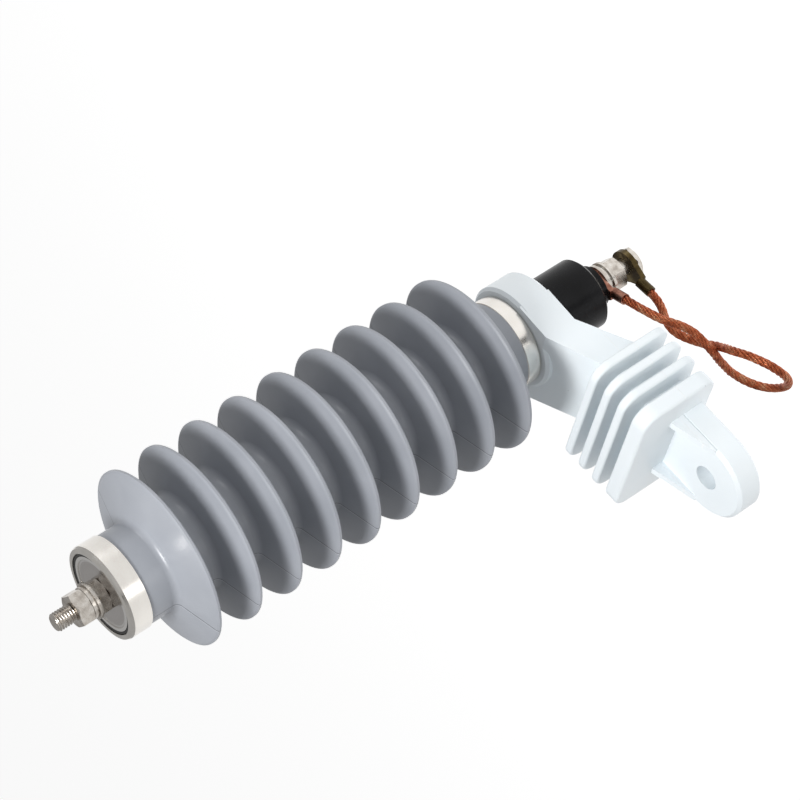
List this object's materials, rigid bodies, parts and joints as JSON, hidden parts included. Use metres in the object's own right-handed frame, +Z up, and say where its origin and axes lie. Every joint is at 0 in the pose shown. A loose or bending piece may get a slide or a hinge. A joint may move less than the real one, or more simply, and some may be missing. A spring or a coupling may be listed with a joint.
{
  "type": "distribution surge arrester",
  "caption": "Polymer-housed distribution surge arrester with sheds, steel end caps, a white insulating bracket and a ground lead disconnector with a looped copper lead.",
  "frame": {"origin": "centre of the bracket's mounting hole, on the mid-plane of the ear", "axes": "+Z up along the arrester towards the line terminal, parallel to the mounting hole; +X from the mounting hole towards the arrester's axis; +Y completes a right-handed frame"},
  "size_m": [0.1967, 0.0984, 0.3991],
  "materials": {
    "housing_rubber": "satin",
    "stainless": "polished",
    "bracket_plastic": "satin",
    "disconnector_plastic": "gloss",
    "seal_rubber": "matt",
    "disc_metal": "brushed",
    "electrode_aluminium": "machined",
    "varistor_ceramic": "sintered, glass-coated rim",
    "tube_composite": "wound",
    "spring_steel": "plain",
    "grading_material": "sintered",
    "cartridge_brass": "plain",
    "lug_copper": "dull copper",
    "lug_brass": "dull",
    "lead_copper": "stranded copper"
  },
  "bodies": {
    "root": {"line_terminal_stud": "stainless", "line_terminal_nut": "stainless", "line_spring_washer": "stainless", "line_flat_washer": "stainless", "terminal_base_nut": "stainless", "name_disc": "disc_metal", "seal_ring": "seal_rubber", "top_end_cap": "stainless", "top_electrode": "electrode_aluminium", "top_spacer": "electrode_aluminium", "upper_contact_plate": "electrode_aluminium", "varistor_block_1": "varistor_ceramic", "varistor_block_2": "varistor_ceramic", "varistor_block_3": "varistor_ceramic", "varistor_block_4": "varistor_ceramic", "varistor_block_5": "varistor_ceramic", "varistor_block_6": "varistor_ceramic", "varistor_block_7": "varistor_ceramic", "varistor_block_8": "varistor_ceramic", "lower_contact_plate": "electrode_aluminium", "contact_spring": "spring_steel", "bottom_electrode": "electrode_aluminium", "reinforcing_tube": "tube_composite", "housing": "housing_rubber", "bottom_end_cap": "stainless", "base_stud": "stainless", "mounting_bracket": "bracket_plastic", "disconnector_body": "disconnector_plastic", "disconnector_top_contact": "stainless", "grading_ring": "grading_material", "release_cartridge": "cartridge_brass", "disconnector_stud": "stainless", "lug_1": "lug_copper", "earth_flat_washer_1": "stainless", "earth_spring_washer": "stainless", "earth_flat_washer_2": "stainless", "earth_nut": "stainless", "lug_2": "lug_brass", "earth_end_nut": "stainless", "earth_lead": "lead_copper"}
  },
  "joints": []
}
